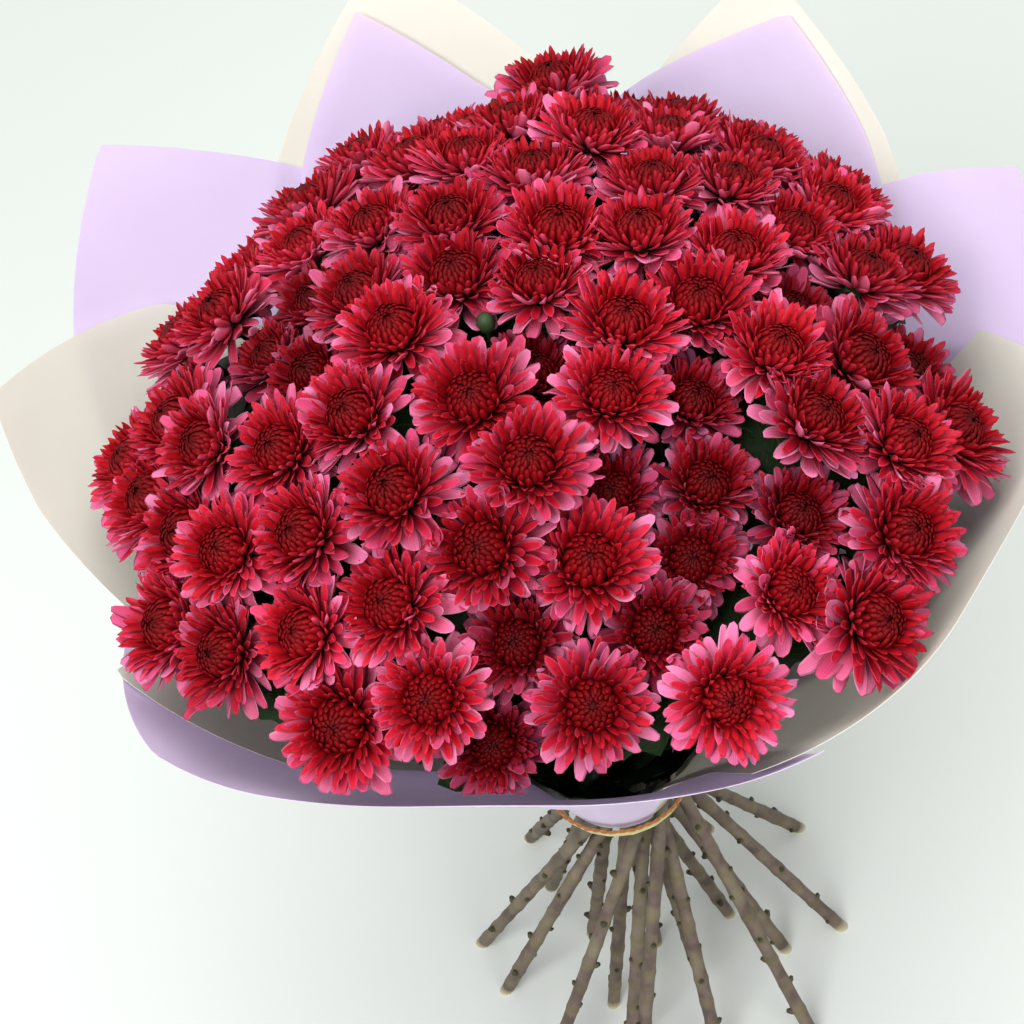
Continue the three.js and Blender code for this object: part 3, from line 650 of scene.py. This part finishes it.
leaf_skin = new_material("chrysanthemum leaf")
mark = add(leaf_skin, "ShaderNodeAttribute", attribute_name="leaf")
parts = add(leaf_skin, "ShaderNodeSeparateColor", {"Color": mark.outputs["Color"]}).outputs
rib = maths(leaf_skin, "ABSOLUTE", maths(leaf_skin, "SUBTRACT", parts[0], 0.5))
slant = maths(leaf_skin, "MULTIPLY_ADD", rib, -0.9, parts[1])
side_veins = maths(leaf_skin, "SINE", maths(leaf_skin, "MULTIPLY", slant, 40.0))
vein_line = add(leaf_skin, "ShaderNodeMapRange", {0: side_veins, 1: 0.86, 2: 1.0, 3: 0.0, 4: 0.6}).outputs[0]
rib_line = add(leaf_skin, "ShaderNodeMapRange", {0: rib, 1: 0.0, 2: 0.035, 3: 1.0, 4: 0.0}).outputs[0]
lines = maths(leaf_skin, "MAXIMUM", vein_line, rib_line)
# Very dark greens: partly the leaf's own deep green, partly painted shade for the gaps the leaves fill.
leaf_and_shade_tone = mix(leaf_skin, parts[2], colour("#0e1f0c"), colour("#1b3213"))
leaf_and_shade_tone = mix(leaf_skin, lines, leaf_and_shade_tone, colour("#2c4720"))
feed(leaf_skin, "Base Color", leaf_and_shade_tone)
shader(leaf_skin).inputs["Roughness"].default_value = 0.5
shader(leaf_skin).inputs["Specular IOR Level"].default_value = 0.15
leaf_bump = add(leaf_skin, "ShaderNodeBump", {"Height": lines, "Strength": 0.4, "Distance": 0.0005}, invert=True)
feed(leaf_skin, "Normal", leaf_bump.outputs[0])

# %% A limb along a line
def add_limb(bm, line, sides, marks, squash=None):
    """A closed round limb through (centre, radius) pairs.

    marks(n) gives the marks of each ring, and squash(point, ring) may move a point.
    """
    count = len(line)
    ways = []
    for n in range(count):
        a, b = line[max(0, n - 1)][0], line[min(count - 1, n + 1)][0]
        ways.append((b - a).normalized())
    first_side = Vector((1, 0, 0)) if abs(ways[0].x) < 0.9 else Vector((0, 1, 0))
    sides_of = []
    for way in ways:
        first_side = (first_side - way * first_side.dot(way)).normalized()
        sides_of.append((first_side, way.cross(first_side)))

    def place(across, side, ring):
        n = max(0, min(count - 1, ring - 1))
        centre, radius = line[n]
        u, v = sides_of[n]
        co = centre + (u * across + v * side) * radius
        if squash:
            co = squash(co, ring)
        return co, marks(n)

    drawn_out(bm, sides, count + 1, place)


# %% Stems with their scars
LAST_SCAR, LAST_STUB, SCAR_LENGTH = TIE_Z - 22, TIE_Z - 30, 2.3
GREEN_FROM, GREEN_OVER, STEM_SIDES = 150, 90, 10


def stem_heights(s):
    """The heights of a stem's foot and leaf scars, as in the CAD model."""
    foot = SHORT_BY * (0.6 + draw(s.n, 20)) if s.n in SHORT_STEMS else 0
    slope = s.down.z
    z = foot + NODE_STEP * slope * (0.45 + 0.4 * draw(s.n, 21))
    scars, k = [], 0
    while z < LAST_SCAR:
        scars.append(z)
        z += NODE_STEP * slope * (0.9 + 0.2 * draw(s.n, 22 + k))
        k += 1
    return foot, scars


def add_stem(bm, s):
    foot, scars = stem_heights(s)
    halves = [(a + b) / 2 for a, b in zip([foot - 6] + scars, scars)]
    joints = sorted([(z, 1.0) for z in scars] + [(z, 0.72) for z in halves if z > foot + 8])
    heights = list(np.arange(foot, TIE_Z, 5.0)) + list(np.linspace(TIE_Z, s.top.z, 14))
    heights = sorted(set(heights + [z + d for z, _ in joints for d in (-2.5, 0, 2)]))
    heights = [z for n, z in enumerate(heights) if n == 0 or z - heights[n - 1] > 0.8]
    line, notes = [], []
    for z in heights:
        near = max((w * math.exp(-((z - j) / SCAR_LENGTH) ** 2) for j, w in joints), default=0)
        above = max(0, min(1, (z - TIE_Z - 10) / 120))
        r = STEM_D / 2 * (1 - above) + STEM_TOP_D / 2 * above
        r *= 0.96 + 0.13 * near + 0.04 * math.sin(z * 0.09 + s.n)
        line.append((on_stem(s, z), r))
        notes.append((max(0, min(1, (z - GREEN_FROM) / GREEN_OVER)), 0.6 * near, 1.0 if z < foot + 0.1 else 0.0, 1))

    def level_foot(co, ring):
        return co + s.down * ((foot - co.z) / s.down.z) if ring <= 1 else co

    add_limb(bm, line, STEM_SIDES, lambda n: {"stem": notes[n]}, level_foot)
    flat = Vector((-s.down.y, s.down.x, 0)).normalized() if s.ring else Vector((1, 0, 0))
    other = s.down.cross(flat)
    for k, (z, w) in enumerate(joints):
        if z > LAST_STUB:
            continue
        turn = k * math.pi * 0.8 + spread(s.n * 7 + k, 60, 0.5)
        out = flat * math.cos(turn) + other * math.sin(turn)
        at = on_stem(s, z) + out * 2.6
        size = w * (1 + spread(s.n * 7 + k, 61, 0.25))
        stub = [
            (at, 2.3 * size),
            (at + out * 1.7 + s.down * 0.8, 2.0 * size),
            (at + out * 3.3 * size + s.down * 2.4, 1.2 * size)]
        add_limb(bm, stub, 6, lambda n: {"stem": (0, 0.7 + 0.3 * n / 2, 0, 1)})


# %% Stalks, cups and buds
SEPALS, BUD_ASIDE, BUD_CLEAR = 9, 22, 30


def add_stalk(bm, h):
    way = (h.neck - h.root).normalized()
    line, notes = [], []
    for n in range(7):
        t = n / 6
        a = h.root.lerp(h.neck, t) + h.axis * (-5 * math.sin(math.pi * t) * 0.5)
        line.append((a, 1.7 + 0.3 * t))
        notes.append((0.75 + 0.25 * t, 0, 0, 1))
    for up, r in ((-13.5, 2.6), (-11.2, 5.2), (-9.4, 7.6), (-7.2, 8.6), (-5.4, 8.0)):
        line.append((h.c + h.axis * up, r * h.r / HEAD_R))
        notes.append((1, 0.25, 0, 1))
    add_limb(bm, line, 8, lambda n: {"stem": notes[n]})
    u, v = flower_axes(h)
    for k in range(SEPALS):
        turn = 2 * math.pi * k / SEPALS
        out = u * math.cos(turn) + v * math.sin(turn)
        root = h.c + h.axis * -10 + out * 6.4
        sepal = [(root, 1.0), (root + out * 2.6 + h.axis * 2.4, 1.5), (root + out * 4.6 + h.axis * 4.2, 0.7)]
        add_limb(bm, sepal, 4, lambda n: {"stem": (1, 0.35, 0, 1)})


def add_bud(bm, s, k):
    """A small closed bud on a thin stalk, low in a gap between two heads of the spray."""
    a, b = s.heads[k], s.heads[(k + 1) % len(s.heads)]
    gap = (a.site + b.site) / 2 - (a.axis + b.axis) * 4
    side = (a.axis.cross(b.site - a.site)).normalized() * (BUD_ASIDE if draw(s.n, 70 + k) > 0.5 else -BUD_ASIDE)
    at = gap + side
    if min((at - h.site).length for h in heads) < BUD_CLEAR:
        return False
    up = (a.axis + b.axis).normalized()
    root = s.top - s.up * 20
    stalk = [(root, 1.3), (root.lerp(at, 0.5) - up * 6, 1.2), (at - up * 12, 1.1), (at - up * 4, 1.3)]
    knob = [(at - up * 2, 3.4), (at + up * 1.5, 4.4), (at + up * 4.5, 3.8), (at + up * 6.8, 2.2)]
    add_limb(bm, stalk + knob, 8, lambda n: {"stem": (1, 0.2 if n < 4 else 0.75, 0, 1)})
    return True


# %% [markdown]
# ## Leaves
# A leaf starts as a flat grid. Its sides are drawn to the lobed outline, the blade bows down from the midrib, and a
# wall is given to it last. The large leaf of each spray lies where the CAD model has it. Smaller ones stand on the
# flower stalks and close the gaps between the heads, and two low ones a spray close the waist of the wrap. These dark
# leaves in the gaps are partly real foliage and partly painted shade.

# %% Leaf outline and leaf
LOBES = (
    (0, 0.04), (0.1, 0.1), (0.26, 0.66), (0.33, 0.58), (0.4, 0.34), (0.52, 0.92),
    (0.6, 0.86), (0.67, 0.42), (0.8, 0.62), (0.9, 0.4), (1, 0.0))
LEAF_BOW, LEAF_DROOP, LEAF_THICK = -14, 0.18, 0.35


def add_leaf(bm, root, way, flat, size, chance):
    """A lobed leaf from its root, pointing along way, its upper face towards flat."""
    side = way.cross(flat).normalized()
    lift = side.cross(way).normalized()
    made = bmesh.ops.create_grid(bm, x_segments=4, y_segments=11, size=1)["verts"]
    layer = bm.verts.layers.float_color["leaf"]
    for v in made:
        x, f = v.co.x, (v.co.y + 1) / 2
        half = np.interp(f, [a for a, _ in LOBES], [b for _, b in LOBES]) * LEAF_W * size / 2
        half = max(half, 0.9 * size)
        bow = LEAF_BOW * size * f * f
        ripple = 1.1 * size * math.sin(f * 21 + chance * 6) * abs(x)
        y = x * half
        v.co = root + way * (f * LEAF_L * size) + side * y + lift * (bow - abs(y) * LEAF_DROOP + ripple)
        v[layer] = (x / 2 + 0.5, f, chance, 1)
    return made


def clear_of(p, bone):
    _, a, b, r = bone
    t = max(0, min(1, (p - a).dot(b - a) / (b - a).length_squared))
    return (a.lerp(b, t) - p).length - r


def leaf_fits(s, points):
    for p in points:
        own = min(clear_of(p, bone) for bone in bones if bone[0] is s)
        other = min(clear_of(p, bone) for bone in bones if bone[0] is not s)
        if other < 2 or own > other - 2:
            return False
        for h in heads:
            local = p - h.c
            z = local.dot(h.axis)
            r = math.sqrt(max(local.length_squared - z * z, 0))
            if r < h.r + 2 and -10.5 < z < 20:
                return False
        wall = film_radius(math.degrees(math.atan2(p.y, p.x)), min(max(p.z, 185), 540))
        if math.hypot(p.x, p.y) > wall - 2.5:
            return False
    return True


HEAD_PLACES = np.array([h.c - knot for h in heads])
HEAD_REACH = np.linalg.norm(HEAD_PLACES, axis=1)


def from_heads(points):
    """Each point's distance from the knot, and how far it is to the side of each head."""
    local = points - np.array(knot)
    far = np.linalg.norm(local, axis=1)
    aside = (local / far[:, None])[:, None, :] * HEAD_REACH[:, None] - HEAD_PLACES
    return local, far, np.linalg.norm(aside, axis=2)


UNDER_HEADS, HEAD_SOFTNESS, LEAF_TO_FILM = 22, 24, 3


def under_heads(points):
    """Presses points down onto a smooth surface that runs below the heads."""
    local, far, aside = from_heads(points)
    weight = np.exp(-(aside / HEAD_SOFTNESS) ** 2) + 1e-9
    limit = (weight * (HEAD_REACH - UNDER_HEADS)).sum(axis=1) / weight.sum(axis=1)
    return np.array(knot) + local * np.minimum(1, limit / far)[:, None]


CAD_LOBES = ((0.1, 0.05), (0.3, 0.62), (0.4, 0.3), (0.58, 1), (0.66, 0.42), (0.84, 0.6))


def large_leaf(s):
    """The place of a spray's large leaf: the first turn and size that keep it clear of its neighbours."""
    root = s.top - s.up * 18
    base = Vector((1, 0, 0)) if abs(s.up.z) > NEAR_UPRIGHT else UP
    u = base.cross(s.up).normalized()
    v = s.up.cross(u)
    for go in range(72):
        size = 1.1 - 0.07 * (go // 12)
        turn = 2 * math.pi * (draw(s.n, 30) + (go % 12) / 12)
        side = u * math.cos(turn) + v * math.sin(turn)
        way = (s.up * 0.8 + side * 0.6).normalized()
        flat = side.cross(way).cross(way) * -1
        across = way.cross(flat).normalized()
        lift = across.cross(way).normalized()
        points = []
        for x, y in CAD_LOBES + ((1, 0),):
            for sign in (1, -1):
                half = sign * y * LEAF_W * size / 2
                drop = LEAF_BOW * size * x * x - abs(half) * LEAF_DROOP
                points.append(root + way * (x * LEAF_L * size) + across * half + lift * drop)
        if leaf_fits(s, points):
            return root, way, flat, size
    return None


def settle(made):
    """Bends a leaf's points to lie under the heads and inside the wrap."""
    points = inside_film(under_heads(np.array([v.co[:] for v in made])), LEAF_TO_FILM)
    for v, p in zip(made, points):
        v.co = p


# %% Build the green pieces
LOW_LEAVES, LOW_LEAF_Z, LOW_LEAF_STEP, LOW_LEAF_SIZE = 2, 212, 26, 1.05
SMALL_LEAVES, LEAF_TRIES, LEAF_REACH, LEAF_CLEAR = 3, 6, 54, 30
large = buds = 0
for s in sprays:
    bm = new_mesh("stem")
    add_stem(bm, s)
    for h in s.heads:
        add_stalk(bm, h)
    for k in range(len(s.heads)):
        if draw(s.n * 5 + k, 71) < 0.5:
            buds += add_bud(bm, s, k)
    name = f"spray_{s.n + 1:02d}"
    new_piece(bm, f"{name}_green", "greenery", bark, f"{name}_stem", crisp=1.1)

    bm = new_mesh("leaf")
    at = large_leaf(s)
    if at:
        add_leaf(bm, *at, draw(s.n, 72))
        large += 1
    # Low dark leaves close the waist of the wrap: partly real foliage, partly painted shade.
    for k in range(LOW_LEAVES):
        turn = s.waist + math.pi * (k + 0.3)
        side = Vector((math.cos(turn), math.sin(turn), 0))
        way = (s.up * 0.9 + side * 0.45).normalized()
        root = on_stem(s, LOW_LEAF_Z + LOW_LEAF_STEP * k)
        settle(add_leaf(bm, root, way, -side, LOW_LEAF_SIZE, draw(s.n, 80 + k)))
    # Small dark leaves under each head fill the gaps between the heads: partly real foliage, partly painted shade.
    for h in s.heads:
        u, v = flower_axes(h)
        for k in range(SMALL_LEAVES):
            root = h.c - h.axis * (34 - 3 * k)
            for go in range(LEAF_TRIES):
                turn = 2 * math.pi * (k / SMALL_LEAVES + draw(h.i, 73) + go * 0.17)
                way = ((u * math.cos(turn) + v * math.sin(turn)) * 0.9 + h.axis * 0.3).normalized()
                if from_heads(np.array([root + way * LEAF_REACH]))[2].min() < LEAF_CLEAR:
                    break
            settle(add_leaf(bm, root, way, h.axis, 0.86 + 0.14 * draw(h.i, 74 + k), draw(h.i, 77 + k)))
    bmesh.ops.solidify(bm, geom=bm.faces[:], thickness=LEAF_THICK)
    new_piece(bm, f"{name}_leaves", "greenery", leaf_skin, crisp=1)
print("large leaves:", large, "buds:", buds)

# %% [markdown]
# ## Wrapping film
# The wrap is matt florist's film, lilac on some sheets and cream on the others. It is thin and stiff, so it makes wide
# soft curves with straight cut edges and no fine crumples. A sheet is a flat grid bent to the cone, thickened last.

# %% Film materials
def film_material(name, lit, shade):
    film = new_material(name)
    spot = add(film, "ShaderNodeTexCoord").outputs["Object"]
    painted_light_patches = add(film, "ShaderNodeTexNoise", {"Vector": spot, "Scale": 9.0, "Detail": 2.0}).outputs["Fac"]
    grit = add(film, "ShaderNodeTexNoise", {"Vector": spot, "Scale": 900.0, "Detail": 2.0}).outputs["Fac"]
    # Painted light and shade: the film's colour drifts between its lit and its shaded tone in soft cloudy patches.
    feed(film, "Base Color", mix(film, painted_light_patches, colour(lit), colour(shade)))
    shader(film).inputs["Roughness"].default_value = 0.42
    shader(film).inputs["Specular IOR Level"].default_value = 0.3
    shader(film).inputs["Subsurface Weight"].default_value = 0.65
    shader(film).inputs["Subsurface Radius"].default_value = (1, 1, 1)
    shader(film).inputs["Subsurface Scale"].default_value = 0.001
    bump = add(film, "ShaderNodeBump", {"Height": grit, "Strength": 0.12, "Distance": 0.0002})
    feed(film, "Normal", bump.outputs[0])
    return film


lilac_film = film_material("matt lilac polypropylene film", "#e2cff4", "#d8c3ee")
cream_film = film_material("matt cream polypropylene film", "#e5e1d5", "#dcd7ca")

# %% Bend the sheets
# Each sheet's name, layer, finish and top edge, as (turn in degrees, height in mm) pairs
SHEETS = (
    ("film_cream_left", 0, cream_film, ((122, 410), (136, 462), (160, 502), (184, 430))),
    ("film_cream_flap", 0, cream_film, ((186, 425), (194, 455), (216, 415))),
    ("film_cream_front", 0, cream_film, ((284, 470), (304, 481), (328, 484), (350, 482), (368, 446))),
    ("film_lilac_back_left", 1, lilac_film, ((74, 430), (88, 480), (98, 520), (122, 420))),
    ("film_lilac_right", 1, lilac_film, ((345, 425), (378, 496), (404, 430))),
    ("film_lilac_front", 1, lilac_film, ((176, 425), (210, 470), (228, 471), (252, 481), (292, 476))),
    ("film_lilac_left", 2, lilac_film, ((102, 440), (129, 524), (166, 420))),
    ("film_lilac_back_right", 2, lilac_film, ((24, 425), (51, 508), (82, 435))),
    ("film_lilac_low_right", 2, lilac_film, ((318, 440), (349, 478), (372, 425))),
    ("film_cream_back_left", 3, cream_film, ((71, 440), (94, 536), (120, 445))),
    ("film_cream_back_right", 3, cream_film, ((26, 440), (55, 524), (69, 455))),
)
# turns in degrees over which the cone's corners are rounded off
ROUNDING = (-7.5, -4.5, -1.5, 1.5, 4.5, 7.5)
COLUMN_TURN, SHEET_ROWS, SHEET_THICK, SMOOTHINGS = 1.5, 30, 0.3, 2


def bend_sheet(name, layer, film, edge):
    bm = bmesh.new()
    turns, tops = [e[0] for e in edge], [e[1] for e in edge]
    columns = round((turns[-1] - turns[0]) / COLUMN_TURN)
    made = bmesh.ops.create_grid(bm, x_segments=columns, y_segments=SHEET_ROWS, size=1)["verts"]
    grid = np.array([v.co[:2] for v in made])
    turn = turns[0] + (turns[-1] - turns[0]) * (grid[:, 0] + 1) / 2
    rim = np.interp(turn, turns, tops)
    z = FILM_Z[0] + (rim - FILM_Z[0]) * (grid[:, 1] + 1) / 2
    r = sum(film_radius(turn + d, z, layer) for d in ROUNDING) / len(ROUNDING) + FILM / 2
    for v, t, r_, z_ in zip(made, np.radians(turn), r, z):
        v.co = (r_ * math.cos(t), r_ * math.sin(t), z_)
    inner_points = [v for v in made if not v.is_boundary]
    for _ in range(SMOOTHINGS):
        bmesh.ops.smooth_vert(
            bm, verts=inner_points, factor=0.5, use_axis_x=True, use_axis_y=True, use_axis_z=True)
    area = sum(f.calc_area() for f in bm.faces) * 1e-6
    bmesh.ops.solidify(bm, geom=bm.faces[:], thickness=SHEET_THICK)
    piece = new_piece(bm, name + "_sheet", "film_cream" if "cream" in name else "film_lilac", film, name, crisp=1)
    return area


areas = [bend_sheet(*row) for row in SHEETS]
print("film used, square metres:", round(sum(areas), 2))

# %% [markdown]
# ## The tie
# Pale raffia holds the wrap: flat, dry strips wound one beside the other. A twisted orange-brown cord lies above it.

# %% Tie materials
def fibre_material(name, light, dark, scale):
    fibre = new_material(name)
    spot = add(fibre, "ShaderNodeTexCoord").outputs["Object"]
    long_spot = add(fibre, "ShaderNodeMapping", {"Vector": spot, "Scale": (0.2, 0.2, 1)}).outputs[0]
    strand = add(fibre, "ShaderNodeTexNoise", {"Vector": long_spot, "Scale": scale, "Detail": 3.0}).outputs["Fac"]
    feed(fibre, "Base Color", mix(fibre, strand, colour(dark), colour(light)))
    shader(fibre).inputs["Roughness"].default_value = 0.7
    bump = add(fibre, "ShaderNodeBump", {"Height": strand, "Strength": 0.6, "Distance": 0.0003})
    feed(fibre, "Normal", bump.outputs[0])
    return fibre


raffia = fibre_material("dry raffia", "#dfdca6", "#a9a468", 1600.0)
twine = fibre_material("twisted jute twine", "#c9874c", "#8f5326", 2200.0)

# %% Wind the tie
STRIPS, STRIP_PITCH, STRIP_LOWEST = 5, 1.35, -4.8
STRANDS, TWISTS, CORD_UP, CORD_OUT, STRAND_AWAY, STRAND_R = 2, 26, 3.4, 1.35, 0.55, 0.62


def wind(bm, z, radius, thick, phase, sides=8, wobble=0.5):
    """One closed turn round the wrap at a height."""
    steps = 72
    ring = []
    for n in range(steps + 1):
        turn = 2 * math.pi * n / steps + phase
        r = float(film_radius(math.degrees(turn), z, 3)) + FILM + radius
        ring.append((Vector((r * math.cos(turn), r * math.sin(turn), z + wobble * math.sin(turn * 2 + phase))), thick))
    add_limb(bm, ring, sides, lambda n: {})


bm = bmesh.new()
for k in range(STRIPS):
    wind(bm, TIE_Z + STRIP_LOWEST + STRIP_PITCH * k, 1.3 + 0.25 * (k % 2), 0.85, k * 1.3)
new_piece(bm, "tie_raffia_strips", "raffia", raffia, "tie_raffia")
bm = bmesh.new()
for strand in range(STRANDS):
    steps = 240
    line = []
    for n in range(steps + 1):
        turn = 2 * math.pi * n / steps
        twist = TWISTS * turn + strand * math.pi
        wall = float(film_radius(math.degrees(turn), TIE_Z + CORD_UP, 3))
        r = wall + FILM + CORD_OUT + STRAND_AWAY * math.cos(twist)
        z = TIE_Z + CORD_UP + STRAND_AWAY * math.sin(twist)
        line.append((Vector((r * math.cos(turn), r * math.sin(turn), z)), STRAND_R))
    add_limb(bm, line, 6, lambda n: {})
new_piece(bm, "tie_cord_strands", "cord", twine, "tie_cord")

# %% [markdown]
# ## The studio
# A pale floor that meets the eye as one soft white field, a large soft light overhead, a stronger one from the front
# left as from a window, and a weak one from the front right.

# %% Floor and lights
floor_mesh = bpy.data.meshes.new("floor")
bm = bmesh.new()
bmesh.ops.create_grid(bm, x_segments=1, y_segments=1, size=3)
bm.to_mesh(floor_mesh)
bm.free()
floor = bpy.data.objects.new("floor", floor_mesh)
bpy.context.scene.collection.objects.link(floor)
table_top = new_material("pale table")
shader(table_top).inputs["Base Color"].default_value = colour("#e6ebe6")
shader(table_top).inputs["Roughness"].default_value = 0.6
floor_mesh.materials.append(table_top)
floor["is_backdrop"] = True


def soft_light(name, at, aim, size, power, tint):
    lamp = bpy.data.lights.new(name, "AREA")
    lamp.shape, lamp.size, lamp.energy, lamp.color = "DISK", size, power, colour(tint)[:3]
    light = bpy.data.objects.new(name, lamp)
    bpy.context.scene.collection.objects.link(light)
    light.location = Vector(at)
    light.rotation_euler = (Vector(aim) - Vector(at)).to_track_quat("-Z", "Y").to_euler()


soft_light("ceiling", (0.1, 0.1, 3.0), (0, 0, 0.35), 2.2, 44, "#ffffff")
soft_light("window", (-1.2, -1.7, 2.6), (0, 0, 0.35), 1.8, 56, "#ffffff")
soft_light("front_fill", (1.0, -2.0, 1.6), (0, 0, 0.3), 1.6, 14, "#fff8f6")
world = bpy.data.worlds.new("studio")
world.use_nodes = True
world.node_tree.nodes["Background"].inputs["Color"].default_value = colour("#f6faf8")
world.node_tree.nodes["Background"].inputs["Strength"].default_value = 0.48
bpy.context.scene.world = world
bpy.context.scene.view_settings.view_transform = "Standard"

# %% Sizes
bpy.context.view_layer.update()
shown = {o.name: sum(len(p.vertices) - 2 for p in o.data.polygons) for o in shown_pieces() if o.type == "MESH"}
print("triangles:", sum(shown.values()), "largest:", max(shown.items(), key=lambda item: item[1]))
